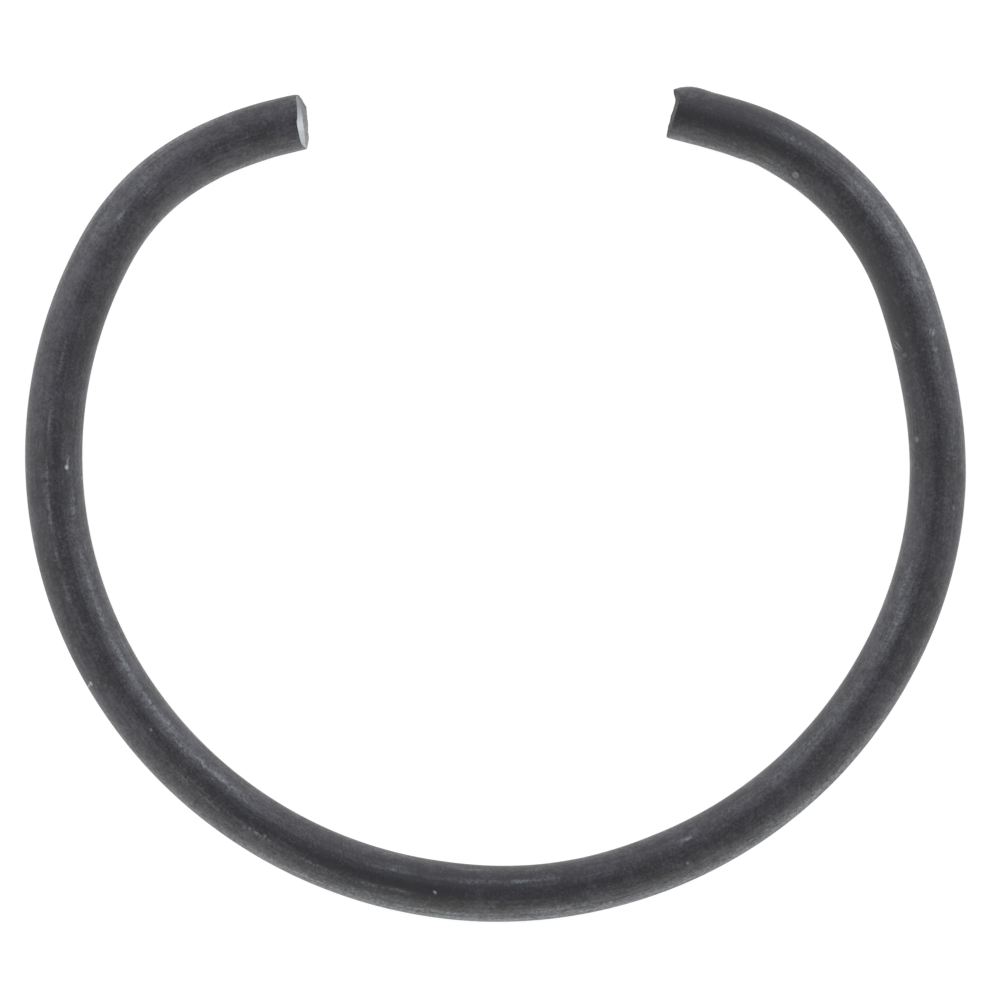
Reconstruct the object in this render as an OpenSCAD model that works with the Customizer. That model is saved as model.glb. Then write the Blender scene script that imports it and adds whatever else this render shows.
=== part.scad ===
// Retaining ring bent from one length of round spring wire, lying flat.
// The wire always turns the same way: a wide main bend opposite the gap, then on each side
// a flank, a tighter shoulder and a short tip that ends where the wire was sheared.
// The two sides were bent a little differently, so each has sizes of its own.
// The origin is the centre of the main bend, half way up the wire. +Z is the ring's axis,
// +Y points to the gap and +X to the right.

/* [Wire] */
// Diameter of the round wire
wire_d = 2; // [1:0.1:3]

/* [Main bend] */
// Radius of the bend opposite the gap, to the middle of the wire
main_r = 16.1; // [14:0.1:18]
// How far the main bend runs on the right of the point opposite the gap, in degrees
right_main_angle = 56; // [46:1:62]
// How far the main bend runs on the left of that point, in degrees
left_main_angle = 65; // [55:1:71]

/* [Right side] */
// Radius of the right flank
right_flank_r = 15; // [13:0.5:17]
// Angle that the wire turns through on the right flank
right_flank_angle = 45; // [36:0.5:52]
// Radius of the flatter stretch between the right flank and its shoulder
right_waist_r = 26; // [18:1:34]
// Angle that the wire turns through on the flatter stretch
right_waist_angle = 7.5; // [4:0.5:10]
// Radius of the right shoulder, where the wire turns in towards the gap
right_shoulder_r = 9.5; // [7:0.5:12]
// Angle that the wire turns through on the right shoulder
right_shoulder_angle = 56; // [46:0.5:64]
// Radius of the right tip, which is almost straight
right_tip_r = 100; // [10:5:200]
// Length of the right tip, along the middle of the wire to the sheared face
right_tip_l = 2; // [1:0.1:4]

/* [Left side] */
// Radius of the left flank
left_flank_r = 15.5; // [13:0.5:17]
// Angle that the wire turns through on the left flank
left_flank_angle = 54; // [44:0.5:60]
// Radius of the left shoulder, the tightest bend of the ring
left_shoulder_r = 8.3; // [6:0.1:11]
// Angle that the wire turns through on the left shoulder
left_shoulder_angle = 38.5; // [30:0.5:45]
// Radius of the left tip
left_tip_r = 18; // [10:1:200]
// Length of the left tip, along the middle of the wire to the sheared face
left_tip_l = 3.1; // [1:0.1:5]

/* [Sheared ends] */
// Radius to which the shear rolled over the outer corner of both ends
roll_r = 0.9; // [0.6:0.05:2]
// How far back from the right face the rolled corner starts
right_roll_l = 0.45; // [0.1:0.05:0.55]
// How far back from the left face the rolled corner starts
left_roll_l = 0.4; // [0.1:0.05:0.55]
// Slant of the right face in the ring's plane, positive where its outer side is longer
right_skew = -2; // [-15:0.5:15]
// Slant of the left face in the ring's plane, positive where its outer side is longer
left_skew = 4; // [-15:0.5:15]
// How far the right face leans back, so that it shows from above, in degrees
right_tilt = 2; // [0:0.5:20]
// How far the left face leans back
left_tilt = 11.5; // [0:0.5:20]
// How far out from the middle of the wire the torn lip on the right face starts
lip_root = 0.4; // [0.2:0.05:0.6]
// How far the torn lip leans out of the right face, in degrees
lip_angle = 26; // [10:1:40]

/* [Hidden] */
$fn = 96;
wire_r = wire_d / 2;
// Length of wire past the face that the shear takes off
spare_l = wire_d;
// How far the shear's cut reaches past the middle of the face
cut_l = 2 * wire_d;
// Direction from the centre of the main bend to the point opposite the gap
start_angle = -90;
// The coarse step in which a worked-out place is set
coarse_step = 0.01;

// The angle that an arc of length l turns through.
function arc_angle(l, r) = l / r * 180 / PI;

// The bends of each side in order, as a radius and the angle that the wire turns through.
right_bends = [
    [main_r, right_main_angle],
    [right_flank_r, right_flank_angle],
    [right_waist_r, right_waist_angle],
    [right_shoulder_r, right_shoulder_angle],
    [right_tip_r, arc_angle(right_tip_l, right_tip_r)]
];
left_bends = [
    [main_r, left_main_angle],
    [left_flank_r, left_flank_angle],
    [left_shoulder_r, left_shoulder_angle],
    [left_tip_r, arc_angle(left_tip_l, left_tip_r)]
];

// Direction from the centre of bend n to the joint where it starts.
function joint_angle(bends, n) =
    n == 0 ? start_angle : joint_angle(bends, n - 1) + bends[n - 1][1];

// Centre of bend n. The wire has no kink between two bends, so their centres and their
// joint are in line.
function centre(bends, n) =
    n == 0 ? [0, 0]
    : centre(bends, n - 1) + (bends[n - 1][0] - bends[n][0]) * direction(joint_angle(bends, n));

function direction(angle) = [cos(angle), sin(angle)];

// Sets its children at p in a coarse and a fine step, which keeps the place exact enough
// for the round faces of two bends to meet all the way round.
module set_at(p) {
    coarse = [for (c = p) round(c / coarse_step) * coarse_step];
    translate(coarse)
        translate(p - coarse)
            children();
}

// A stretch of wire about the origin.
module wire_arc(r, from_angle, angle)
    rotate_extrude(angle = angle, start = from_angle)
        translate([r, 0])
            circle(d = wire_d);

// What the shear takes off, seen along the ring's axis, with the middle of the face at the
// origin, +Y out of it and +X to the outer side: the wire past the face, less the torn lip
// that leans out from root, and the rolled outer corner.
module shear_outline(roll_l, skew, root, lean) {
    rotate(skew)
        polygon([
            [-cut_l, 0],
            [root, 0],
            [cut_l, (cut_l - root) * tan(lean)],
            [cut_l, cut_l],
            [-cut_l, cut_l]
        ]);
    translate([wire_r - roll_r, -roll_l])
        difference() {
            square(cut_l);
            circle(roll_r);
        }
}

// The wire of one side, from the end of the main bend to the sheared face. A plain face
// has no lip, so its lean is 0.
module side_wire(bends, roll_l, skew, tilt, root = 0, lean = 0) {
    tip = len(bends) - 1;
    tip_r = bends[tip][0];
    face_angle = joint_angle(bends, tip + 1);
    for (n = [1 : tip - 1])
        set_at(centre(bends, n))
            wire_arc(bends[n][0], joint_angle(bends, n), bends[n][1]);
    set_at(centre(bends, tip))
        difference() {
            wire_arc(tip_r, joint_angle(bends, tip), bends[tip][1] + arc_angle(spare_l, tip_r));
            rotate(face_angle)
                translate([tip_r, 0])
                    rotate([tilt, 0])
                        linear_extrude(cut_l, center = true)
                            shear_outline(roll_l, skew, root, lean);
        }
}

module retaining_ring()
    color("#3e3f43") {
        wire_arc(main_r, start_angle - left_main_angle, left_main_angle + right_main_angle);
        side_wire(right_bends, right_roll_l, right_skew, right_tilt, lip_root, lip_angle);
        mirror([1, 0])
            side_wire(left_bends, left_roll_l, left_skew, left_tilt);
    }

retaining_ring();
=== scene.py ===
# %% [markdown]
# # A retaining ring of round spring wire
#
# The real part is one length of 2 mm spring wire. It was drawn through a die, bent round to a ring
# that is open on one side, sheared off at both ends, and blackened in a phosphate bath.
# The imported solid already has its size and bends. This lesson builds the same wire again as a
# finer mesh, which can carry what a solid leaves out: the torn and burnished faces, the places
# where the wire isn't quite round, the small dents, and a finish that follows the wire along its
# bends.

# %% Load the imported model
import math

import bmesh
import bpy
import numpy as np
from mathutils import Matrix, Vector, noise


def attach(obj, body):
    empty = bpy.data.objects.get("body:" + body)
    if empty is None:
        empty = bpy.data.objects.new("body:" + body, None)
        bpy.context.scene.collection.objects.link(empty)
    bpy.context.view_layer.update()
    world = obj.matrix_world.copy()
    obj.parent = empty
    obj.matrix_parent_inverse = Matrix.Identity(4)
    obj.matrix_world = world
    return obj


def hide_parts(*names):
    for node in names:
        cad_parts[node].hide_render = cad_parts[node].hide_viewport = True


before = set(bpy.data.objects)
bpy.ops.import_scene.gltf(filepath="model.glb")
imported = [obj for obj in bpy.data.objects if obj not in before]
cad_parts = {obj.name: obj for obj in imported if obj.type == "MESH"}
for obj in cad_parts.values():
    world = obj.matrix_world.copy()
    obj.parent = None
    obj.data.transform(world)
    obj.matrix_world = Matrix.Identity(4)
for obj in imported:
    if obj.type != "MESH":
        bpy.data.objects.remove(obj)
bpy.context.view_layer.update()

MM = 0.001

# %% [markdown]
# ## The camera
#
# A flat part is photographed from straight above. A long lens from far away keeps the wire's two
# flanks alike all the way round, as in the photograph, where the view is 36.2 mm wide.

# %% Set up the camera
VIEW_W = 36.166 * MM
VIEW_CENTRE = Vector((0.093, -1.874, 0)) * MM
LENS = 800
SENSOR_W = 36

camera_data = bpy.data.cameras.new("long_lens")
camera_data.lens = LENS
camera_data.sensor_width = SENSOR_W
camera_height = VIEW_W * LENS / SENSOR_W
camera_data.clip_end = 3 * camera_height
camera = bpy.data.objects.new("camera_above", camera_data)
camera.location = VIEW_CENTRE + Vector((0, 0, camera_height))
bpy.context.scene.collection.objects.link(camera)
bpy.context.scene.camera = camera
print("camera:", round(camera_height / MM), "mm above the ring")

# %% [markdown]
# ## The line of the wire
#
# The wire always turns the same way, so its middle line is a chain of arcs. They are listed here
# from the left end, round past the side opposite the gap, to the right end. The main bend is
# centred on the origin. Where two arcs meet, both centres and the joint are in line, so the
# other centres follow from the radii. The steel is 2 mm thick, and its phosphate skin stands
# 0.02 mm out of it.

# %% List the bends
STEEL_R = 1.0 * MM
SKIN = 0.02 * MM
WIRE_R = STEEL_R + SKIN
MAIN = 3
MAIN_START = -155
BENDS = [
    ("left tip", 18, math.degrees(3.1 / 18)),
    ("left shoulder", 8.3, 38.5),
    ("left flank", 15.5, 54),
    ("main bend", 16.1, 121),
    ("right flank", 15, 45),
    ("right waist", 26, 7.5),
    ("right shoulder", 9.5, 56),
    ("right tip", 100, math.degrees(2 / 100)),
]


def direction(angle):
    """Unit vector in the ring's plane, from an angle in radians."""
    return Vector((math.cos(angle), math.sin(angle), 0))


def chain_of_arcs(bends, main, main_start):
    """Each bend as (centre, radius, start angle, turn, length along the wire at its start)."""
    radii = [radius * MM for _, radius, _ in bends]
    turns = [math.radians(turn) for _, _, turn in bends]
    starts = [math.radians(main_start) + sum(turns[main:n]) - sum(turns[n:main])
              for n in range(len(bends))]
    centres = {main: Vector()}
    for n in range(main + 1, len(bends)):
        centres[n] = centres[n - 1] + (radii[n - 1] - radii[n]) * direction(starts[n])
    for n in range(main - 1, -1, -1):
        centres[n] = centres[n + 1] + (radii[n + 1] - radii[n]) * direction(starts[n + 1])
    lengths = np.cumsum([0] + [radius * turn for radius, turn in zip(radii, turns)])
    return [(centres[n], radii[n], starts[n], turns[n], float(lengths[n]))
            for n in range(len(bends))], float(lengths[-1])


ARCS, WIRE_L = chain_of_arcs(BENDS, MAIN, MAIN_START)
STEEL_VOLUME = WIRE_L * math.pi * STEEL_R**2
print("wire:", round(WIRE_L / MM, 2), "mm long,", round(STEEL_VOLUME / MM**3, 1), "mm3")

# %% [markdown]
# Later steps place marks and finishes by how far along the wire they are. Two helpers turn that
# length into a place and back again: the wire is read as if it were pulled straight, with `out`
# towards the ring's outer side, `up` along its axis, and `along` from the left end.


# %% Read places along the wire
def place_on_line(along):
    """Point on the wire's middle line, and the angle that points to the outer side there."""
    centre, radius, start, _, length = next(
        arc for arc in reversed(ARCS) if along >= arc[4] or arc is ARCS[0])
    angle = start + (along - length) / radius
    return centre + radius * direction(angle), angle


def straightened(points):
    """Rows of (out, up, along) for points near the wire, as if the wire were straight."""
    past_end = 2 * MM
    tie_break = 0.01
    best = np.full(len(points), np.inf)
    rows = np.zeros((len(points), 3))
    for n, (centre, radius, start, turn, length) in enumerate(ARCS):
        dx, dy = points[:, 0] - centre.x, points[:, 1] - centre.y
        out = np.hypot(dx, dy) - radius
        middle = start + turn / 2
        angle = (np.arctan2(dy, dx) - middle + math.pi) % math.tau - math.pi
        beyond = np.abs(angle) - turn / 2
        if n in (0, len(ARCS) - 1):
            beyond = np.where((angle < 0) == (n == 0), beyond - past_end / radius, beyond)
        # A point belongs to the bend that it misses by least, or else whose line is nearer.
        miss = np.maximum(beyond, 0) * radius + np.abs(out) * tie_break
        nearer = miss < best
        best[nearer] = miss[nearer]
        along = length + (angle + turn / 2) * radius
        rows[nearer] = np.stack([out, points[:, 2], along], 1)[nearer]
    return rows


for name, along in (("left end", 0), ("right end", WIRE_L)):
    point, angle = place_on_line(along)
    print(name, [round(c / MM, 2) for c in point], "facing out at", round(math.degrees(angle), 1))

# %% [markdown]
# ## Modelling the wire
#
# A bent wire is a circle carried along its middle line. It could be a curve with a bevel, but
# each bend here is a true arc, so the spin tool gives it exactly: the circle is spun about each
# bend's centre in turn, and each spin starts from the ring of vertices that the last one left
# selected. Both ends get one long step that runs past the face, for the shear to cut.

# %% Helpers for edit mode
SIDES = 128           # vertices round the wire
RING_STEP = 0.2 * MM  # from one ring of vertices to the next
END_ZONE = 1.2 * MM   # the stretch behind each face that is refined and shaped
SPARE = 0.5 * MM      # what the shear cuts off


def edit(piece, select_mode):
    """Edit mode with nothing selected."""
    bpy.context.view_layer.objects.active = piece
    bpy.ops.object.mode_set(mode="EDIT")
    bpy.ops.mesh.select_mode(type=select_mode)
    bpy.ops.mesh.select_all(action="DESELECT")


def select(piece, kind, test):
    """Selects the verts, edges or faces for which test is true, and says how many."""
    mesh = bmesh.from_edit_mesh(piece.data)
    bpy.ops.mesh.select_all(action="DESELECT")
    found = [element for element in getattr(mesh, kind) if test(element)]
    for element in found:
        element.select_set(True)
    bmesh.update_edit_mesh(piece.data)
    return len(found)


# %% Two finishes for one piece
BARE = 1  # the slot of the sheared faces, and all others keep slot 0
phosphated = bpy.data.materials.new("phosphated_spring_steel")
sheared = bpy.data.materials.new("sheared_spring_steel")
print("finishes:", phosphated.name, "and", sheared.name)

# %% Spin the section along the bends
bpy.ops.object.select_all(action="DESELECT")
point, angle = place_on_line(-SPARE)
bpy.ops.mesh.primitive_circle_add(
    vertices=SIDES, radius=WIRE_R, fill_type="NOTHING", location=point,
    rotation=(math.pi / 2, 0, angle))
wire = bpy.context.object
wire.name = wire.data.name = "ring_wire"
for finish in (phosphated, sheared):
    wire.data.materials.append(finish)
bpy.ops.object.transform_apply(location=True, rotation=True, scale=True)
edit(wire, "EDGE")
bpy.ops.mesh.select_all(action="SELECT")
for n, (centre, radius, _, turn, _) in enumerate(ARCS):
    first, last = n == 0, n == len(ARCS) - 1
    body_l = radius * turn - END_ZONE * (first + last)
    steps = round(body_l / RING_STEP)
    spins = ([(1, SPARE + END_ZONE)] if first else []) + [(steps, body_l)]
    spins += [(1, SPARE + END_ZONE)] if last else []
    for count, arc_l in spins:
        bpy.ops.mesh.spin(
            steps=count, angle=-arc_l / radius, center=centre, axis=(0, 0, 1),
            use_auto_merge=False)
bpy.ops.object.mode_set(mode="OBJECT")
print("spun wire:", len(wire.data.polygons), "faces")

# %% [markdown]
# ## Shearing the ends
#
# The wire was cut off by a blade, so the cut is made here the way the blade made it: each spare
# stretch is bisected by the plane of its face and the far part is thrown away. The left blade
# leaned back 11.5 degrees, the right one only 2. The fill is inset and then filled by a grid, so
# that the face has vertices of its own to shape, and the stretch behind the face is subdivided.

# %% Where the faces are
ENDS = {
    "left": {"along": 0, "free": -1, "skew": 4, "tilt": 11.5},
    "right": {"along": WIRE_L, "free": 1, "skew": -2, "tilt": 2},
}
END_REACH = 2 * WIRE_R        # from the middle of a face, for what belongs to its end
FACE_REACH = 1.5 * WIRE_R     # and for what belongs to the face
GRID_SPAN = SIDES // 4
RIM_W = 0.05 * MM
LONG_EDGE = 1.5 * RING_STEP   # only the one long step at each end has edges over this
ZONE_CUTS = 27
CUT_TOLERANCE = 1e-4 * MM
FLAT_TOLERANCE = 1e-3 * MM

for name, end in ENDS.items():
    end["centre"], angle = place_on_line(end["along"])
    end["out"] = direction(angle)
    end["heading"] = end["free"] * direction(angle + math.pi / 2)
    lean = math.tan(math.radians(end["tilt"]))
    slant = math.tan(math.radians(end["skew"])) / math.cos(math.radians(end["tilt"]))
    end["normal"] = (end["heading"] - slant * end["out"] + lean * Vector((0, 0, 1))).normalized()
    print(name, "face points to", [round(c, 3) for c in end["normal"]])

# %% Cut, fill and refine each end
for name, end in ENDS.items():
    centre, heading = end["centre"], end["heading"]
    edit(wire, "FACE")
    select(wire, "faces", lambda face: (
        (face.calc_center_median() - centre).length < END_REACH
        and (face.calc_center_median() - centre).dot(heading) > -END_ZONE / 2))
    bpy.ops.mesh.bisect(
        plane_co=centre, plane_no=end["normal"], use_fill=True, clear_outer=True,
        clear_inner=False, threshold=CUT_TOLERANCE)
    select(wire, "faces", lambda face: len(face.verts) > 4)
    bpy.ops.mesh.inset(thickness=RIM_W)
    bpy.ops.mesh.delete(type="ONLY_FACE")
    bpy.ops.mesh.select_mode(type="EDGE")
    select(wire, "edges", lambda edge: (
        edge.is_boundary and (edge.verts[0].co - centre).length < FACE_REACH))
    bpy.ops.mesh.fill_grid(span=GRID_SPAN)
    bpy.ops.mesh.select_mode(type="FACE")
    select(wire, "faces", lambda face: all(
        abs((vert.co - centre).dot(end["normal"])) < FLAT_TOLERANCE for vert in face.verts))
    wire.active_material_index = BARE
    bpy.ops.object.material_slot_assign()
    select(wire, "edges", lambda edge: (
        edge.calc_length() > LONG_EDGE
        and (edge.verts[0].co - centre).length < END_REACH))
    bpy.ops.mesh.subdivide(number_cuts=ZONE_CUTS)
    bpy.ops.object.mode_set(mode="OBJECT")
    print(name, "end cut:", len(wire.data.polygons), "faces now")

# %% [markdown]
# A shear doesn't leave a flat face. The blade first rolls the corner over, then burnishes the
# face as it slides down it, and at last the rest of the wire tears away. On the left end the
# upper edge of the face, the lower edge and the rolled corner were drawn from the photograph as
# short lists of (out, towards the free end). On the right end the tear left a lip at the outer
# side, with a notch beside it. All of these numbers are in wire radii, and a radius is about a
# millimetre. The torn parts have a low grain, which is a noise.

# %% Edges of the left face
LEFT_UPPER = [(-1, -0.06), (-0.95, -0.11), (-0.8, -0.2), (-0.58, -0.212), (-0.39, -0.208),
              (-0.16, -0.202), (0.03, -0.178), (0.1, -0.14), (0.24, -0.113), (0.45, -0.075),
              (0.68, -0.045), (0.86, -0.035), (1, 0.04)]
LEFT_LOWER = [(-1, -0.05), (-0.93, -0.012), (-0.83, 0.022), (-0.73, 0.074), (-0.66, 0.1),
              (-0.43, 0.134), (0.03, 0.198), (0.3, 0.24), (0.5, 0.25), (0.62, 0.215),
              (0.78, 0.172), (0.9, 0.13), (1, 0.11)]
# The height on the face below which the wire tore, against out, and how far the torn part and the
# burnished part run into each other.
TORN_BELOW = [(-0.95, -0.05), (-0.8, -0.08), (-0.6, -0.13), (-0.4, -0.13), (-0.2, -0.17),
              (0, -0.12), (0.2, -0.02), (0.4, 0.12), (0.7, 0.16), (0.9, 0.1)]
TEAR_BLUR = 0.2
print("left face:", len(LEFT_UPPER + LEFT_LOWER), "points on its edges")

# %% Edges of the right face
RIGHT_FLAT = [(-1, 0), (-0.67, -0.008), (-0.39, -0.012), (-0.2, -0.018), (0, -0.038),
              (1, -0.038)]
RIGHT_LIP = [(0.33, 0), (0.4, 0.035), (0.5, 0.112), (0.6, 0.166), (0.7, 0.202), (1, 0.227)]
RIGHT_LEAN = 0.065  # how far the face falls back for each radius upwards
LIP_FALL = 1.25     # how fast the lip runs out above and below the middle
print("right face: the lip stands out by", round(RIGHT_LIP[-1][1] * WIRE_R / MM, 2), "mm")

# %% Rolled corners
# How far the wire reaches to its outer side, against the length to the face. On the right the
# blade pushed up a low ridge before it bit.
LEFT_ROLL = [(-1.2, 1), (-0.6, 1), (-0.3, 0.995), (-0.1, 0.985), (0, 0.966), (0.06, 0.94),
             (0.13, 0.92)]
RIGHT_ROLL = [(-1.2, 1), (-0.8, 1.028), (-0.6, 1.028), (-0.4, 1.008), (-0.2, 0.952), (0, 0.87),
              (0.1, 0.805), (0.2, 0.74)]
ROLL_FROM = 0.3  # where the roll starts, between the middle and the outer side
# How far the wire reaches to its inner side, against the same length.
LEFT_INNER = [(-1.2, 1), (0.3, 1)]
RIGHT_INNER = [(-1.2, 0.97), (-0.1, 0.975), (0, 0.962), (0.2, 0.955)]
print("at the cut the corners are rolled by", [
    round((1 - dict(roll)[0]) * WIRE_R / MM, 3) for roll in (LEFT_ROLL, RIGHT_ROLL)], "mm")

# %% How far each face stands out
GRAIN_PITCH = 0.25
GRAIN_HEIGHT = 0.02


def read(pairs, value):
    """The value of a line of (x, y) pairs."""
    return np.interp(value, *zip(*pairs))


def torn_share(out, up):
    """From 0 where the blade burnished the left face to 1 where the wire tore."""
    return np.clip(0.5 + (read(TORN_BELOW, out) - up) / TEAR_BLUR, 0, 1)


def grain_height(out, up):
    """How far the grain of torn steel stands out of the face."""
    fall_off, finer, octaves = 0.5, 2, 3
    points = np.stack([out, up, 0 * out], 1) / GRAIN_PITCH
    return GRAIN_HEIGHT * np.array([
        noise.fractal(Vector(point), fall_off, finer, octaves) for point in points])


def left_face(out, up):
    """How far the left face stands out past the cut: a ruled surface between its two edges."""
    edge_up = np.sqrt(np.maximum(1 - out**2, 0.01))
    upper, lower = read(LEFT_UPPER, out), read(LEFT_LOWER, out)
    smooth = (upper + lower) / 2 + (upper - lower) / 2 * np.clip(up / edge_up, -1, 1)
    return smooth + torn_share(out, up) * grain_height(out, up)


def right_face(out, up):
    """How far the right face stands out past the cut, with its torn lip."""
    lip = read(RIGHT_LIP, out) * np.clip(1 - LIP_FALL * up**2, 0, 1)
    return read(RIGHT_FLAT, out) - RIGHT_LEAN * up + lip + grain_height(out, up)


ENDS["left"].update(face=left_face, roll=LEFT_ROLL, inner=LEFT_INNER)
ENDS["right"].update(face=right_face, roll=RIGHT_ROLL, inner=RIGHT_INNER)


# %% Read and move vertices
def vertex_places(piece):
    """The places of a mesh's vertices, as rows of (x, y, z)."""
    rows = np.empty(len(piece.data.vertices) * 3)
    piece.data.vertices.foreach_get("co", rows)
    return rows.reshape(-1, 3)


def move_vertices(piece, rows):
    """Puts a mesh's vertices at new places."""
    piece.data.vertices.foreach_set("co", rows.ravel())
    piece.data.update()


# %% Shape the faces and the rolled corners
PASSES = 3

for name, end in ENDS.items():
    places = vertex_places(wire)
    centre, axes = np.array(end["centre"]), np.array([end["out"], (0, 0, 1), end["heading"]])
    local = (places - centre) @ axes.T / WIRE_R
    zone = END_ZONE / WIRE_R
    near = (local[:, 2] > -zone) & (np.abs(local).max(1) < FACE_REACH / WIRE_R)
    out, up, ahead = local[near].T
    skew, tilt = math.radians(end["skew"]), math.radians(end["tilt"])
    plane = (math.tan(skew) * out - math.sin(tilt) * up) / math.cos(tilt)
    share = np.clip((ahead + zone) / (plane + zone), 0, 1)
    new_out, new_ahead = out, ahead
    # The roll depends on the place of the face, and that on the roll, so they settle together.
    for _ in range(PASSES):
        rolled = 1 - read(end["roll"], new_ahead)
        drawn_in = 1 - read(end["inner"], new_ahead)
        new_out = (out - rolled * np.clip((out - ROLL_FROM) / (1 - ROLL_FROM), 0, 1)**2
                   + drawn_in * np.clip(-out, 0, 1)**2)
        new_ahead = share * (end["face"](new_out, up) + zone) - zone
    new_local = np.stack([new_out, up, new_ahead], 1) * WIRE_R
    places[near] = centre + new_local @ axes
    move_vertices(wire, places)
    furthest = float(new_ahead.max()) * WIRE_R / MM
    print(name, "face: furthest point", round(furthest, 3), "mm past the middle of the cut")

# %% Close the seams
edit(wire, "VERT")
bpy.ops.mesh.select_all(action="SELECT")
bpy.ops.mesh.remove_doubles(threshold=FLAT_TOLERANCE)
bpy.ops.mesh.normals_make_consistent(inside=False)
open_edges = select(wire, "edges", lambda edge: not edge.is_manifold)
bpy.ops.object.mode_set(mode="OBJECT")
print("open edges:", open_edges)

# %% [markdown]
# ## Not quite round
#
# Wire that was bent cold isn't the same all along: its outer and inner sides stand out or fall
# back by a few hundredths of a millimetre. Both sides are listed as (along, height), in mm, and
# the round of each section is swelled towards them. There is one small notch, in the inner side
# of the right tip. The die that the wire was drawn through also left long, very shallow lines,
# which show best near the rim. They are a noise that changes quickly round the wire and slowly
# along it, and it gives the same lines each time.

# %% Heights of the surface
OUTER_SIDE = [
    (1.2, 0), (2.3, 0.014), (3.8, -0.007), (6, 0.012), (10, 0.02), (20, 0.024), (22.3, 0.033),
    (25, 0.038), (29, 0.029), (32, 0.013), (36, 0), (39, 0), (41, 0.011), (46, 0.014),
    (49, 0.025), (54.5, 0.024), (56.7, 0.004), (58.8, -0.014), (61, 0), (63.5, 0.018),
    (65.5, 0.02), (68.5, -0.022), (71, 0.005), (76, 0.008), (79, 0.02), (82.5, 0)]
INNER_SIDE = [
    (1.2, 0), (3, 0), (4, 0.014), (6.5, -0.01), (9.5, 0.004), (13, 0.015), (22, 0.014),
    (25, 0.004), (29, 0.007), (32.5, 0.018), (39.5, 0.016), (41.5, -0.018), (43.2, -0.04),
    (44.8, -0.038), (46.2, -0.018), (47.7, 0), (50.5, -0.018), (53.5, -0.018), (55.5, 0),
    (58.5, 0.022), (61, 0.014), (64, -0.014), (66, -0.018), (68.5, 0.011), (71.5, -0.01),
    (77, -0.01), (79.3, -0.022), (79.8, -0.035), (80.3, -0.055), (80.65, -0.03),
    (80.95, -0.005), (81.6, -0.02), (82.5, -0.03)]
print(len(OUTER_SIDE + INNER_SIDE), "heights")

# %% Draw lines, and a way to set a height
LINE_PITCH = 0.16     # from one draw line to the next, in mm
LINE_RUN = 6.0        # how long a line stays the same
LINE_HEIGHT = 0.0035


def surface_height(rows):
    """How far the surface stands out of a true round, in mm, at rows of (out, up, along)."""
    turn, along = np.arctan2(rows[:, 1], rows[:, 0]), rows[:, 2] / MM
    points = np.stack([np.cos(turn) / LINE_PITCH, np.sin(turn) / LINE_PITCH, along / LINE_RUN], 1)
    lines = LINE_HEIGHT * np.array([noise.noise(Vector(point)) for point in points])
    return (lines + read(OUTER_SIDE, along) * np.maximum(np.cos(turn), 0)**2
            + read(INNER_SIDE, along) * np.maximum(-np.cos(turn), 0)**2)


def set_height(places, rows, chosen, height):
    """Moves the chosen places out from the wire's middle line to a height in mm on its round."""
    middle = np.array([place_on_line(along)[0] for along in rows[chosen, 2]])
    section_r = np.hypot(rows[chosen, 0], rows[chosen, 1])
    scale = (WIRE_R + height * MM) / section_r
    places[chosen] = middle + (places[chosen] - middle) * scale[:, None]


# %% Shape the wire between its ends
places = vertex_places(wire)
rows = straightened(places)
between_ends = (rows[:, 2] > END_ZONE) & (rows[:, 2] < WIRE_L - END_ZONE)
height = surface_height(rows[between_ends])
set_height(places, rows, between_ends, height)
move_vertices(wire, places)
print("heights from", round(float(height.min()), 3), "to", round(float(height.max()), 3), "mm")

# %% [markdown]
# ## Dents and scratches
#
# Rings knock against each other in the tumbling drum and in the bag. Each knock leaves a dent or
# a scratch less than 0.6 mm long, with a low lip round it. It needs several vertices across, so
# the faces round it are subdivided, and the new vertices are set back on the round of the wire.
# Each mark is listed as (along, out, half length, half width) in mm, its slant to the wire in
# degrees, and how bright it is, from 0 to 1. Four are split by a dark line along their middle.

# %% Where the dents are
DENTS = [
    (16.97, -0.47, 0.085, 0.075, 0, 0.9), (16.72, -0.52, 0.2, 0.035, -15, 0.25),
    (17.4, -0.97, 0.07, 0.06, 0, 0.85), (24.74, 0.94, 0.28, 0.03, -80, 0.9),
    (24.71, 0.84, 0.08, 0.06, 0, 1), (27.25, 0.03, 0.05, 0.05, 0, 0.42),
    (29.55, -0.46, 0.06, 0.05, 0, 0.3), (30.1, -0.33, 0.05, 0.04, 0, 0.2),
    (32.86, 0.23, 0.05, 0.04, 0, 0.35), (32.5, 0.3, 0.09, 0.03, 0, 0.25),
    (39.3, 0.1, 0.07, 0.045, -45, 0.7), (42.3, -0.41, 0.08, 0.04, 0, 0.1),
    (43.64, 0.69, 0.06, 0.04, 0, 0.2), (45.49, 0.8, 0.07, 0.05, -30, 0.45),
    (48.47, 0.39, 0.05, 0.045, -60, 0.4), (48.82, -0.39, 0.1, 0.05, 0, 0.25),
    (67.32, 0.63, 0.05, 0.05, 0, 0.2), (70.27, 0.46, 0.09, 0.035, -35, 0.2),
    (70.35, 0.4, 0.09, 0.035, -35, 0.2), (70.9, 0.53, 0.13, 0.045, -35, 0.35),
    (70.98, 0.45, 0.12, 0.04, -35, 0.25), (70.81, -0.79, 0.25, 0.024, 35, 0.4),
    (70.73, -0.87, 0.22, 0.024, 46, 0.5), (73, 0.57, 0.06, 0.05, 0, 0.2),
]
SPLIT_DENTS = [
    (64.73, 0.66, 0.09, 0.08, 0, 0.2), (67.16, -0.73, 0.09, 0.1, 0, 0.42),
    (70.37, -0.66, 0.08, 0.1, 0, 0.2), (78.64, -0.62, 0.13, 0.13, -10, 0.5),
]
print(len(DENTS + SPLIT_DENTS), "dents and scratches")


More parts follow.
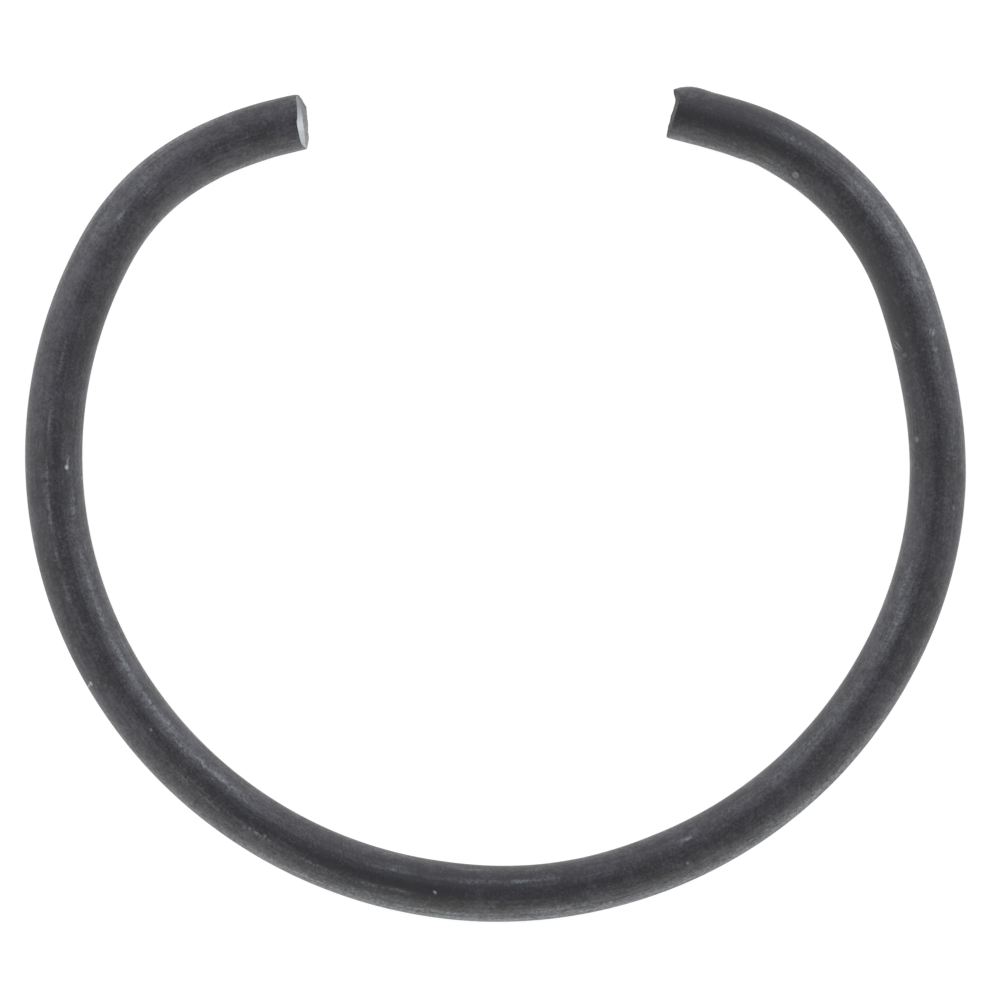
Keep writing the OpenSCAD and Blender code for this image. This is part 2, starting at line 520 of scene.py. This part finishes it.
# %% Measure from a mark
def surface_gap(rows, along, out):
    """From each row to a place on the wire's upper side, along and round it, in mm."""
    turn = np.arctan2(rows[:, 1], rows[:, 0]) - math.acos(out)
    return rows[:, 2] / MM - along, (turn + math.pi) % math.tau - math.pi


def dent_gap(rows, along, out, half_l, half_w, slant):
    """The same distance in a slanting mark's own half lengths and half widths."""
    lengthwise, round_it = surface_gap(rows, along, out)
    cos, sin = math.cos(math.radians(slant)), math.sin(math.radians(slant))
    return np.hypot((lengthwise * cos + round_it * sin) / half_l,
                    (round_it * cos - lengthwise * sin) / half_w)


# %% Refine the faces round each dent
DENT_MARGIN = 1.3  # the refined patch in sizes of the dent
DENT_ROOM = 0.13   # and what is added to that, in mm
DENT_CUTS = 4

centres = np.empty(len(wire.data.polygons) * 3)
wire.data.polygons.foreach_get("center", centres)
rows = straightened(centres.reshape(-1, 3))
near_dent = np.zeros(len(rows), bool)
for *where, half_l, half_w, slant, _ in DENTS + SPLIT_DENTS:
    reach_l, reach_w = DENT_MARGIN * half_l + DENT_ROOM, DENT_MARGIN * half_w + DENT_ROOM
    near_dent |= dent_gap(rows, *where, reach_l, reach_w, slant) < 1
edit(wire, "FACE")
chosen = select(wire, "faces", lambda face: near_dent[face.index])
bpy.ops.mesh.subdivide(number_cuts=DENT_CUTS)
bpy.ops.object.mode_set(mode="OBJECT")
print(chosen, "faces refined for the dents")

# %% Press the dents in
DENT_DEPTH = 0.25                                 # in half widths of the dent
PIT_SPREAD = 0.6
LIP_HEIGHT, LIP_AT, LIP_SPREAD = 0.35, 1.4, 0.12  # height in depths, place in half widths
SPLIT_L, SPLIT_W, SPLIT_DARK = 0.7, 0.3, 0.9      # the dark line, in sizes of the dent
RESET_ROOM = 0.4                                  # round a dent, in mm
SHARP_EDGE = math.radians(35)

places = vertex_places(wire)
rows = straightened(places)
dent, push = np.zeros((2, len(rows)))
round_here = np.zeros(len(rows), bool)
for mark in DENTS + SPLIT_DENTS:
    *where, half_l, half_w, slant, brightness = mark
    gap = dent_gap(rows, *where, half_l, half_w, slant)
    lip, pit = np.exp(-(gap - LIP_AT)**2 / LIP_SPREAD), np.exp(-gap**2 / PIT_SPREAD)
    push += half_w * DENT_DEPTH * (LIP_HEIGHT * lip - pit)
    shape = np.exp(-gap**4)
    if mark in SPLIT_DENTS:
        gap = dent_gap(rows, *where, SPLIT_L * half_l, SPLIT_W * half_w, slant)
        shape *= 1 - SPLIT_DARK * np.exp(-gap**2)
    dent = np.maximum(dent, brightness * shape)
    round_here |= dent_gap(rows, *where, half_l + RESET_ROOM, half_w + RESET_ROOM, slant) < 1
set_height(places, rows, round_here, surface_height(rows[round_here]) + push[round_here])
move_vertices(wire, places)
bpy.ops.object.shade_smooth_by_angle(angle=SHARP_EDGE)
print("deepest dent:", round(-push.min() * 1000), "micrometres")

# %% [markdown]
# ## Where the black finish is worn, and painted highlights
#
# Along its flanks the ring has rubbed on others, and its black film is thin there. A worn patch
# is long and narrow, because only the tops of the draw lines are rubbed. The same list also
# holds painted highlights, drawn as patches in the same way: a thin lighter line beside the dark
# line on the top of the wire, and a bright edge on the rolled outer corner of the left end.
# Patches are listed as (along, out, half length, half width) in mm and how strong they are, from
# 0 to 1. They fade out to their edges, and where two overlap, the stronger one counts.

# %% Where the film is thin, and the painted highlights
WORN_AND_HIGHLIT = [
    (6.1, 0.05, 0.4, 0.15, 0.15), (6.1, 0.48, 0.6, 0.25, 0.15), (7.5, 0.2, 0.3, 0.1, 0.35),
    (8.3, 0.6, 0.6, 0.25, 0.15), (16.85, -0.5, 0.3, 0.05, 0.5), (17.2, 0.25, 0.4, 0.08, 0.35),
    (20, -0.75, 0.15, 0.06, 0.2), (21.5, -0.55, 0.3, 0.08, 0.4), (21.5, 0.3, 0.5, 0.08, 0.2),
    (24.7, -0.5, 1.2, 0.12, 0.38), (26.7, -0.5, 0.8, 0.12, 0.42), (27.6, -0.55, 0.6, 0.15, 0.5),
    (29.3, -0.5, 0.8, 0.12, 0.35), (30.4, -0.55, 1, 0.12, 0.48), (32.3, 0.32, 1, 0.08, 0.3),
    (37.2, -0.35, 0.6, 0.1, 0.12), (39, 0.8, 3, 0.15, 0.4), (41, -0.42, 1, 0.08, 0.2),
    (42.4, -0.43, 0.4, 0.08, 0.42), (43.3, -0.43, 0.4, 0.06, 0.2), (43.5, 0.7, 1.2, 0.15, 0.35),
    (48.8, -0.42, 0.35, 0.1, 0.3), (51.5, 0.8, 1.2, 0.2, 0.28), (53.5, 0.85, 1, 0.15, 0.6),
    (55, -0.55, 3, 0.2, 0.12), (61.6, -0.57, 0.7, 0.1, 0.35), (62.2, -0.5, 0.3, 0.08, 0.2),
    (70.3, 0.5, 0.15, 0.08, 0.2), (70.9, 0.57, 0.18, 0.08, 0.5), (73.1, 0.57, 0.6, 0.2, 0.33),
    (74.9, 0.57, 0.7, 0.2, 0.32), (75.8, 0.5, 0.4, 0.1, 0.22), (76.4, 0.6, 0.5, 0.2, 0.24),
    (79.5, 0.4, 0.8, 0.15, 0.32), (83.4, 0.7, 0.3, 0.2, 0.12), (36, 0.9, 6, 0.25, 0.48),
    (45, 0.9, 7, 0.25, 0.45), (53, 0.9, 6, 0.25, 0.42), (74, 0.92, 5, 0.2, 0.35),
    (6, 0.92, 3, 0.2, 0.3), (1, -0.93, 1.5, 0.2, 0.4), (5, -0.92, 3, 0.2, 0.1),
    (81, -0.9, 3, 0.25, 0.3), (83, -0.92, 0.5, 0.15, 0.38), (79.6, -0.68, 0.6, 0.15, 0.25),
    # On the next four rows, the patches at out 0.09 to 0.38 are a painted highlight: a thin
    # lighter line beside the dark line on the top of the wire.
    (7.8, 0.09, 0.4, 0.08, 0.27), (13, 0.09, 0.7, 0.06, 0.3), (15.3, 0.16, 0.8, 0.06, 0.3),
    (18.4, 0.27, 0.8, 0.07, 0.35), (20.1, 0.27, 0.4, 0.06, 0.25), (18.4, -0.57, 0.6, 0.08, 0.3),
    (20.6, -0.56, 0.5, 0.08, 0.3), (22.4, -0.53, 0.7, 0.1, 0.38), (29.2, 0.38, 0.5, 0.08, 0.3),
    (30.5, 0.38, 0.5, 0.08, 0.25), (34.6, 0.31, 0.5, 0.07, 0.28), (36.9, 0.31, 0.5, 0.07, 0.28),
    (37.8, -0.45, 0.6, 0.1, 0.3), (38, 0.63, 0.6, 0.12, 0.37), (60.4, -0.32, 1.2, 0.2, 0.25),
    (67.1, 0.56, 0.4, 0.12, 0.22), (76.6, 0.28, 0.4, 0.1, 0.25), (71.9, 0.62, 0.4, 0.1, 0.2),
    (24.3, -0.84, 0.9, 0.03, 0.4), (43.1, -0.81, 0.6, 0.03, 0.3), (20.5, -0.86, 1.5, 0.03, 0.25),
    (29, -0.88, 3, 0.03, 0.08), (34, -0.86, 2.5, 0.03, 0.1), (39, -0.88, 2, 0.03, 0.25),
    (2.8, -0.92, 0.6, 0.1, 0.5), (39.8, 0.92, 1, 0.14, 0.68), (28.4, -0.42, 0.4, 0.07, 0.42),
    (31.6, -0.42, 0.4, 0.08, 0.3), (38, 0.27, 0.5, 0.07, 0.28), (36.6, 0.67, 0.5, 0.12, 0.37),
    (40.6, -0.82, 0.7, 0.06, 0.3), (22.5, 0.25, 1.5, 0.12, 0.06), (28.5, 0.27, 2.5, 0.14, 0.07),
    # The patch at (0.05, 0.78) on the next row is a painted highlight on the rolled outer corner
    # of the left end.
    (34.5, 0.27, 2, 0.14, 0.06), (0.05, 0.78, 0.12, 0.25, 0.2), (4.5, -0.92, 2, 0.12, 0.16),
    (83.2, -0.88, 0.3, 0.15, 0.38), (70.2, 0.4, 0.6, 0.12, 0.12), (75.7, 0.3, 0.5, 0.1, 0.12),
    (37.5, -0.9, 1, 0.12, 0.15), (6.9, -0.92, 0.8, 0.12, 0.22),
]
print(len(WORN_AND_HIGHLIT), "worn patches")

# %% How worn each vertex is, with the painted highlights
JUST_WORN_AND_HIGHLIT = 0.1

rows = straightened(vertex_places(wire))
worn = np.zeros(len(rows))
for along, out, half_l, half_w, strength in WORN_AND_HIGHLIT:
    gap_along, gap_round = surface_gap(rows, along, out)
    worn = np.maximum(worn, strength * np.exp(-(gap_along / half_l)**2 - (gap_round / half_w)**2))
print("worn:", round(100 * float((worn > JUST_WORN_AND_HIGHLIT).mean()), 1), "% of the vertices")
print("triangles:", sum(len(face.vertices) - 2 for face in wire.data.polygons))

# %% [markdown]
# ## Attributes for the finishes
#
# Draw lines run along a wire through every bend. Object coordinates can't follow them, so the
# straightened place of each vertex, in mm, is kept as an attribute that the materials read, and
# so is how worn, dented and torn the surface is. The worn attribute also carries the painted
# highlights. The left face is burnished down to the line where the wire tore away. The right face
# tore all over, and went black in the bath.
# The bath didn't work evenly either. How thin its film is along the middle of the wire is listed
# as (along, thinness), and so is how much that changes towards the outer and the inner side.

# %% Where the bath left a thin film
MIDDLE_FILM = [(0, 0.45), (2, 0.55), (5.5, 0.95), (11, 0.8), (17, 0.45), (29, 0.45), (34, 0),
               (36, -0.4), (38.7, -0.7), (41, 0), (47, 0.45), (53, 0.7), (59, 0.6), (65, 0.4),
               (67.5, 0.2), (75, 0.35), (79, 0), (81.5, -0.9), (84, -0.35)]
OUTER_FILM = [(0, 0), (4, -0.15), (8, 0), (12, 0), (16, -0.1), (24, -0.05), (27, 0.5), (33, 0.9),
              (38, 1.05), (43, 0.65), (48, 0.42), (52, 0), (62, -0.25), (67, 0.3), (75, 0.32),
              (80, 0.2), (82, 0.5)]
INNER_FILM = [(0, 0.45), (4.5, 0.12), (9, -0.35), (12.5, -0.72), (16, 0), (20, 0.32), (35, 0.42),
              (38.5, 0.6), (42, 0), (46, -0.12), (54, -0.45), (58, 0.1), (61, 0.1), (68, 0),
              (72.5, -0.85), (76, 0), (82, 1.4)]
SIDE_RISE = 1.5  # the change is full at two thirds of the way to the side
HALF_WAY = WIRE_L / MM / 2

out, up, along = rows.T / MM
thin_film = (read(MIDDLE_FILM, along) + read(OUTER_FILM, along) * np.clip(SIDE_RISE * out, 0, 1)
             + read(INNER_FILM, along) * np.clip(-SIDE_RISE * out, 0, 1))
torn = np.where(along < HALF_WAY, torn_share(out, up), 1)
print("half way is at", round(HALF_WAY, 1), "mm")


# %% Keep the attributes
def keep(piece, name, kind, field, values):
    """One value a vertex, as an attribute of the mesh."""
    attribute = piece.data.attributes.new(name, kind, "POINT")
    attribute.data.foreach_set(field, values.astype(np.float32).ravel())
    print(name, "from", np.round(values.min(0), 2), "to", np.round(values.max(0), 2))


keep(wire, "straight_mm", "FLOAT_VECTOR", "vector", rows / MM)
# Wear and the painted highlights share this attribute.
keep(wire, "worn", "FLOAT", "value", worn)
keep(wire, "dent", "FLOAT", "value", dent)
keep(wire, "torn", "FLOAT", "value", torn)
keep(wire, "thin_film", "FLOAT", "value", thin_film)


# %% Colours and nodes
def linear(hex_colour):
    """An sRGB hex colour as the linear RGBA that shaders use."""
    values = [int(hex_colour[n:n + 2], 16) / 255 for n in (1, 3, 5)]
    return tuple(v / 12.92 if v <= 0.04045 else ((v + 0.055) / 1.055)**2.4 for v in values) + (1,)


def add(tree, kind, inputs=(), **settings):
    """Adds a node. Each input is given a value, or (node, its output's name) to link."""
    made = tree.nodes.new(kind)
    for name, value in settings.items():
        setattr(made, name, value)
    for name, value in dict(inputs).items():
        if isinstance(value, tuple) and isinstance(value[0], bpy.types.Node):
            tree.links.new(value[0].outputs[value[1]], made.inputs[name])
        else:
            made.inputs[name].default_value = value
    return made


# A Mix node has sockets of one name for each type, so those for colours are found by number.
MIX_A, MIX_B, MIXED = 6, 7, 2


def empty_tree(material):
    """The node tree of a material or a world, with nothing in it."""
    material.use_nodes = True
    material.node_tree.nodes.clear()
    return material.node_tree


# %% [markdown]
# ## Phosphated spring steel
#
# The bath grows a skin of fine dark crystals on the steel, a few hundredths of a millimetre
# across, and oil fills it. So the wire is nearly black with a satin sheen like oiled stone, and
# the die's lines still show through it along the wire. The crystals are drawn coarser than they
# are, from 0.12 mm down, so that the render can show them. The draw lines are 0.1 mm apart, the
# mottle of the bath 0.4 mm and its clouds more than a millimetre.

# %% Patterns of the black finish
CRYSTALS_PER_MM = 8
MOTTLE_PER_MM = 2.6
CLOUDS_PER_MM = 0.8
LINES_PER_MM = 10
LINE_STRETCH = 0.035  # a draw line is some 30 times as long as it is wide

tree = empty_tree(phosphated)
straight = add(tree, "ShaderNodeAttribute", attribute_name="straight_mm")
crystals = add(tree, "ShaderNodeTexNoise", {
    "Vector": (straight, "Vector"), "Scale": CRYSTALS_PER_MM, "Detail": 3, "Roughness": 0.95})
mottle = add(tree, "ShaderNodeTexNoise", {
    "Vector": (straight, "Vector"), "Scale": MOTTLE_PER_MM, "Detail": 2, "Roughness": 0.6})
clouds = add(tree, "ShaderNodeTexNoise", {
    "Vector": (straight, "Vector"), "Scale": CLOUDS_PER_MM, "Detail": 2, "Roughness": 0.6})
drawn = add(tree, "ShaderNodeMapping", {
    "Vector": (straight, "Vector"), "Scale": (1, 1, LINE_STRETCH)})
lines = add(tree, "ShaderNodeTexNoise", {
    "Vector": (drawn, "Vector"), "Scale": LINES_PER_MM, "Detail": 3, "Roughness": 0.65})
print("patterns:", sum(node.type == "TEX_NOISE" for node in tree.nodes))

# %% One tone from the four patterns
WEIGHTS = ((crystals, 0.48), (mottle, 0.17), (clouds, 0.16), (lines, 0.19))
TONE_LOW, TONE_HIGH = 0.40, 0.60  # nearly all of the tone lies between these
DARKEST, LIGHTEST = -0.665, 0.715
FILM_EFFECT = 0.6

tone = None
for pattern, weight in WEIGHTS:
    tone = add(tree, "ShaderNodeMath", {
        0: (pattern, "Fac"), 1: weight, 2: (tone, "Value") if tone else 0},
        operation="MULTIPLY_ADD")
print("weights add up to", round(sum(weight for _, weight in WEIGHTS), 2))
spread = add(tree, "ShaderNodeMapRange", {
    "Value": (tone, "Value"), "From Min": TONE_LOW, "From Max": TONE_HIGH,
    "To Min": DARKEST, "To Max": LIGHTEST})
film = add(tree, "ShaderNodeAttribute", attribute_name="thin_film")
depth = add(tree, "ShaderNodeMath", {
    0: (film, "Fac"), 1: FILM_EFFECT, 2: (spread, "Result")},
    operation="MULTIPLY_ADD", use_clamp=True)

# %% The colour of the skin, bluer in its clouds
BLUE_LEAST, BLUE_RISE = 0.2, 0.9

blue = add(tree, "ShaderNodeMath", {0: (clouds, "Fac"), 1: BLUE_RISE, 2: BLUE_LEAST},
           operation="MULTIPLY_ADD", use_clamp=True)
bluish = add(tree, "ShaderNodeMix", {
    "Factor": (blue, "Value"), MIX_A: linear("#464442"), MIX_B: linear("#433f4c")},
    data_type="RGBA")
skin = add(tree, "ShaderNodeMix", {
    "Factor": (depth, "Value"), MIX_A: linear("#0e0815"), MIX_B: (bluish, MIXED)},
    data_type="RGBA")
print("skin, from thick to thin:", [
    tuple(round(c, 3) for c in mix.inputs[MIX_A].default_value[:3]) for mix in (skin, bluish)])

# %% [markdown]
# Where the skin is worn, the grey of the steel comes through on the tops of the lines and of the
# crystals, so the worn attribute is multiplied by both patterns. The painted highlights in that
# attribute come out in the same light grey. A few single crystals are light all over the wire:
# these flecks are painted glints. Dents are bruised to a lighter grey.

# %% Wear, painted highlights and painted glints on the black finish
HOLLOW, TOP = 0.42, 0.62            # the noise in the hollows of a pattern and on its tops
FLECK_FROM, FLECK_FULL = 0.64, 0.82  # only the highest crystals are flecks, which are painted glints
FLECK_GLINT, DENT_WEAR = 0.3, 0.9

tops = add(tree, "ShaderNodeMapRange", {
    "Value": (lines, "Fac"), "From Min": HOLLOW, "From Max": TOP, "To Min": 0.5, "To Max": 1})
specks = add(tree, "ShaderNodeMapRange", {
    "Value": (crystals, "Fac"), "From Min": HOLLOW, "From Max": TOP,
    "To Min": 0.25, "To Max": 1.15}, clamp=False)
# The worn attribute carries wear and painted highlights alike, and both show as light grey.
wear_and_highlight_here = add(tree, "ShaderNodeAttribute", attribute_name="worn")
dent_here = add(tree, "ShaderNodeAttribute", attribute_name="dent")
rubbed_and_highlit = add(tree, "ShaderNodeMath", {0: (wear_and_highlight_here, "Fac"), 1: (tops, "Result")},
             operation="MULTIPLY")
speckled_and_highlit = add(tree, "ShaderNodeMath", {0: (rubbed_and_highlit, "Value"), 1: (specks, "Result")},
               operation="MULTIPLY")
# Flecks are painted glints: lighter specks on the highest crystals all over the wire.
glint_flecks = add(tree, "ShaderNodeMapRange", {
    "Value": (crystals, "Fac"), "From Min": FLECK_FROM, "From Max": FLECK_FULL,
    "To Min": 0, "To Max": FLECK_GLINT})
wear_and_highlights = add(tree, "ShaderNodeMath", {0: (speckled_and_highlit, "Value"), 1: (glint_flecks, "Result")},
              operation="ADD")
wear_dents_and_highlights = add(tree, "ShaderNodeMath", {
    0: (dent_here, "Fac"), 1: DENT_WEAR, 2: (wear_and_highlights, "Value")},
    operation="MULTIPLY_ADD", use_clamp=True)
# The light grey is bare steel where the skin is worn and where dents are, and it also paints the
# highlights and glints.
colour = add(tree, "ShaderNodeMix", {
    "Factor": (wear_dents_and_highlights, "Value"), MIX_A: (skin, MIXED), MIX_B: linear("#b2bac0")},
    data_type="RGBA")
print("black finish so far:", len(tree.nodes), "nodes")

# %% The satin skin
DULL, SATIN = 0.48, 0.30
CRYSTAL_RELIEF = 0.05 * MM
PHOSPHATE_IOR = 1.68

satin = add(tree, "ShaderNodeMapRange", {
    "Value": (tone, "Value"), "From Min": TONE_LOW, "From Max": TONE_HIGH,
    "To Min": DULL, "To Max": SATIN})
relief = add(tree, "ShaderNodeBump", {
    "Height": (tone, "Value"), "Strength": 1, "Distance": CRYSTAL_RELIEF})
shader = add(tree, "ShaderNodeBsdfPrincipled", {
    "Base Color": (colour, MIXED), "Roughness": (satin, "Result"),
    "Normal": (relief, "Normal"), "IOR": PHOSPHATE_IOR})
add(tree, "ShaderNodeOutputMaterial", {"Surface": (shader, "BSDF")})
print(phosphated.name, "has", len(tree.nodes), "nodes")

# %% [markdown]
# ## Sheared spring steel
#
# Where the blade slid down the face it left the steel bright, with fine scores in the direction
# in which it moved. Below that the steel tore, and the break is a dull grey with a grain.

# %% Patterns of the sheared steel
SCORES_PER_MM = 8
SLIDE_STRETCH = (1, 0.08, 0.3)  # a score runs down the face, and a little way into the steel
GRAINS_PER_MM = 9

tree = empty_tree(sheared)
straight = add(tree, "ShaderNodeAttribute", attribute_name="straight_mm")
place = add(tree, "ShaderNodeSeparateXYZ", {"Vector": (straight, "Vector")})
slid = add(tree, "ShaderNodeMapping", {"Vector": (straight, "Vector"), "Scale": SLIDE_STRETCH})
scores = add(tree, "ShaderNodeTexNoise", {
    "Vector": (slid, "Vector"), "Scale": SCORES_PER_MM, "Detail": 3, "Roughness": 0.6})
grain = add(tree, "ShaderNodeTexNoise", {
    "Vector": (straight, "Vector"), "Scale": GRAINS_PER_MM, "Detail": 3, "Roughness": 0.7})
print("patterns:", sum(node.type == "TEX_NOISE" for node in tree.nodes))

# %% Colours across the face
FRAY = 0.4  # how far a pattern shifts the colours to the side, in mm


def across_face(tree, pattern, stops):
    """Colours from the inner side of the wire, out = -1, to the outer side, out = 1."""
    shifted = add(tree, "ShaderNodeMath", {0: (pattern, "Fac"), 1: FRAY, 2: (place, "X")},
                  operation="MULTIPLY_ADD")
    half = add(tree, "ShaderNodeMath", {0: (shifted, "Value"), 1: 0.5, 2: 0.5 - FRAY / 4},
               operation="MULTIPLY_ADD")
    ramp = add(tree, "ShaderNodeValToRGB", {"Fac": (half, "Value")})
    points = ramp.color_ramp.elements  # a new ramp has two, so both ends are listed first
    for n, (out_here, hex_colour) in enumerate(stops):
        point = points[n] if n < 2 else points.new(1)
        point.position = (out_here + 1) / 2
        point.color = linear(hex_colour)
    return ramp


bright = across_face(tree, scores, [
    (-1, "#8e9296"), (1, "#8d9090"), (-0.8, "#a6abaf"), (-0.35, "#adb2b6"),
    (-0.15, "#bbc2c6"), (0.03, "#b4bbc0"), (0.2, "#969da3"), (0.4, "#838a90"),
    (0.55, "#70767b"), (0.72, "#70757a"), (0.88, "#888c8e")])
dull = across_face(tree, grain, [
    (-1, "#a39f9c"), (1, "#858283"), (-0.5, "#9a9895"), (-0.3, "#898683")])
print("face colours:", [len(ramp.color_ramp.elements) for ramp in (bright, dull)], "stops")

# %% The line where the wire tore away
TEAR_FRAY = 0.8
TEAR_FROM, TEAR_FULL = 0.65, 1.15

torn_here = add(tree, "ShaderNodeAttribute", attribute_name="torn")
frayed = add(tree, "ShaderNodeMath", {0: (grain, "Fac"), 1: TEAR_FRAY, 2: (torn_here, "Fac")},
             operation="MULTIPLY_ADD")
ragged = add(tree, "ShaderNodeMapRange", {
    "Value": (frayed, "Value"), "From Min": TEAR_FROM, "From Max": TEAR_FULL,
    "To Min": 0, "To Max": 1})
face = add(tree, "ShaderNodeMix", {
    "Factor": (ragged, "Result"), MIX_A: (bright, "Color"), MIX_B: (dull, "Color")},
    data_type="RGBA")

# %% Scores and grain on the face
NOISE_LOW, NOISE_HIGH = 0.35, 0.65  # nearly all of a noise lies between these

score_shade = add(tree, "ShaderNodeMapRange", {
    "Value": (scores, "Fac"), "From Min": NOISE_LOW, "From Max": NOISE_HIGH,
    "To Min": 0.9, "To Max": 1.08})
grain_shade = add(tree, "ShaderNodeMapRange", {
    "Value": (grain, "Fac"), "From Min": NOISE_LOW, "From Max": NOISE_HIGH,
    "To Min": 0.7, "To Max": 1.25})
shade = add(tree, "ShaderNodeMix", {
    "Factor": (ragged, "Result"), "A": (score_shade, "Result"), "B": (grain_shade, "Result")})
shaded = add(tree, "ShaderNodeMix", {
    "Factor": 1, MIX_A: (face, MIXED), MIX_B: (shade, "Result")},
    data_type="RGBA", blend_type="MULTIPLY")

# %% [markdown]
# The right face was cut before the ring went into the bath, so it is as black as the rest, and
# only its grain catches the light.

# %% Blacken the right face
FACET_FROM, FACET_FULL = 0.36, 0.66  # the grain from its dark hollows to its light facets

in_bath = add(tree, "ShaderNodeMath", {0: (place, "Z"), 1: HALF_WAY}, operation="GREATER_THAN")
facets = add(tree, "ShaderNodeMapRange", {
    "Value": (grain, "Fac"), "From Min": FACET_FROM, "From Max": FACET_FULL,
    "To Min": 0, "To Max": 1})
black = add(tree, "ShaderNodeMix", {
    "Factor": (facets, "Result"), MIX_A: linear("#09090c"), MIX_B: linear("#525154")},
    data_type="RGBA")
face_colour = add(tree, "ShaderNodeMix", {
    "Factor": (in_bath, "Value"), MIX_A: (shaded, MIXED), MIX_B: (black, MIXED)},
    data_type="RGBA")

# %% Bare metal on the left face only
BURNISHED, BROKEN = 0.38, 0.7
GRAIN_RELIEF = 0.03 * MM

bare = add(tree, "ShaderNodeMath", {0: 1, 1: (in_bath, "Value")}, operation="SUBTRACT")
rough = add(tree, "ShaderNodeMapRange", {
    "Value": (ragged, "Result"), "From Min": 0, "From Max": 1,
    "To Min": BURNISHED, "To Max": BROKEN})
relief = add(tree, "ShaderNodeBump", {
    "Height": (grain, "Fac"), "Strength": 1, "Distance": GRAIN_RELIEF})
shader = add(tree, "ShaderNodeBsdfPrincipled", {
    "Base Color": (face_colour, MIXED), "Metallic": (bare, "Value"),
    "Roughness": (rough, "Result"), "Normal": (relief, "Normal")})
add(tree, "ShaderNodeOutputMaterial", {"Surface": (shader, "BSDF")})
print(sheared.name, "has", len(tree.nodes), "nodes")

# %% Attach the piece
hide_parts("retaining_ring")
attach(wire, "root")
print(wire.name, "replaces the solid")

# %% [markdown]
# ## The light table and the tent
#
# Small parts are photographed on a sheet of opal acrylic that is lit from below, so that the
# floor stays white and only a faint shadow is left at the wire. A tent of white cloth stands round
# it, a little cooler at the back than at the front. The lens looks in through a hole in its top,
# and that hole is the dark line that runs along the top of the wire. Three softboxes brighten the
# flanks. The tent is the scene's world, so the whole of it is only light.

# %% Floor
FLOOR_W = 3
FLOOR_GREY = 0.25
FLOOR_GLOW = 0.9

bpy.ops.object.select_all(action="DESELECT")
bpy.ops.mesh.primitive_plane_add(size=FLOOR_W, location=(0, 0, -WIRE_R))
floor = bpy.context.object
floor.name = "floor"
opal = bpy.data.materials.new("opal_acrylic")
tree = empty_tree(opal)
matt = add(tree, "ShaderNodeBsdfDiffuse", {"Color": (FLOOR_GREY, FLOOR_GREY, FLOOR_GREY, 1)})
glow = add(tree, "ShaderNodeEmission", {"Color": (1, 1, 1, 1), "Strength": FLOOR_GLOW})
both = add(tree, "ShaderNodeAddShader", {0: (matt, "BSDF"), 1: (glow, "Emission")})
add(tree, "ShaderNodeOutputMaterial", {"Surface": (both, "Shader")})
floor.data.materials.append(opal)
print("floor:", FLOOR_W, "m wide,", SKIN / MM, "mm under the steel")

# %% Tent
TENT = 0.71                         # how bright the cloth is
TENT_SIDE = 0.26                    # how much brighter it is on its brightest side
TENT_SIDE_AT = math.radians(128)    # the bearing of that side
TENT_WARM = (0.985, 1, 0.92, 1)     # the cloth's tint at the front
TENT_COOL = (0.965, 0.995, 1.08, 1)
HOLE_AT = Vector((-0.17, 0.21, 1)).normalized()
HOLE_CORE = math.radians(23)        # the hole is dark up to here from its middle
HOLE_EDGE = math.radians(35.5)      # and the cloth has its full light from here
HOLE_LIGHT = 0.01

world = bpy.data.worlds.new("light_tent")
bpy.context.scene.world = world
tree = empty_tree(world)
ray = add(tree, "ShaderNodeTexCoord")
sideways = add(tree, "ShaderNodeVectorMath", {
    0: (ray, "Generated"), 1: direction(TENT_SIDE_AT)}, operation="DOT_PRODUCT")
cloth = add(tree, "ShaderNodeMath", {0: (sideways, "Value"), 1: TENT_SIDE, 2: TENT},
            operation="MULTIPLY_ADD")
towards_lens = add(tree, "ShaderNodeVectorMath", {0: (ray, "Generated"), 1: HOLE_AT},
                   operation="DOT_PRODUCT")
hole = add(tree, "ShaderNodeMapRange", {
    "Value": (towards_lens, "Value"), "From Min": math.cos(HOLE_EDGE),
    "From Max": math.cos(HOLE_CORE), "To Min": 1, "To Max": HOLE_LIGHT},
    interpolation_type="SMOOTHSTEP")
light = add(tree, "ShaderNodeMath", {0: (cloth, "Value"), 1: (hole, "Result")},
            operation="MULTIPLY")
print("hole in the tent:", round(math.degrees(2 * HOLE_EDGE)), "degrees across")

# %% The tent's tint, from front to back
away = add(tree, "ShaderNodeSeparateXYZ", {"Vector": (ray, "Generated")})
cool = add(tree, "ShaderNodeMapRange", {
    "Value": (away, "Y"), "From Min": -1, "From Max": 1, "To Min": 0, "To Max": 1})
tint = add(tree, "ShaderNodeMix", {
    "Factor": (cool, "Result"), MIX_A: TENT_WARM, MIX_B: TENT_COOL}, data_type="RGBA")
background = add(tree, "ShaderNodeBackground", {
    "Color": (tint, MIXED), "Strength": (light, "Value")})
add(tree, "ShaderNodeOutputWorld", {"Surface": (background, "Background")})
print(world.name, "has", len(tree.nodes), "nodes")

# %% Softboxes
BOX_DISTANCE = 0.5
BOXES = {  # bearing and height in degrees, width and height in m, brightness, colour
    "key_box": (32, 26, 0.33, 0.49, 1.5, (0.95, 0.995, 1.05)),
    "left_box": (146, 40, 0.30, 0.75, 1.05, (0.97, 1, 1.04)),
    "front_box": (278, 15, 1.17, 0.27, 0.85, (0.99, 1, 0.95)),
}
for name, (bearing, height, box_w, box_h, brightness, colour) in BOXES.items():
    rise = math.radians(height)
    way = math.cos(rise) * direction(math.radians(bearing)) + Vector((0, 0, math.sin(rise)))
    light = bpy.data.lights.new(name, "AREA")
    light.shape, light.size, light.size_y = "RECTANGLE", box_w, box_h
    light.energy = math.pi * box_w * box_h * brightness
    light.color = colour
    box = bpy.data.objects.new(name, light)
    box.location = BOX_DISTANCE * way
    box.rotation_euler = way.to_track_quat("Z", "Y").to_euler()
    box.visible_camera = False
    bpy.context.scene.collection.objects.link(box)
    print(name, round(light.energy, 2), "W")

bpy.context.scene.view_settings.view_transform = "Standard"
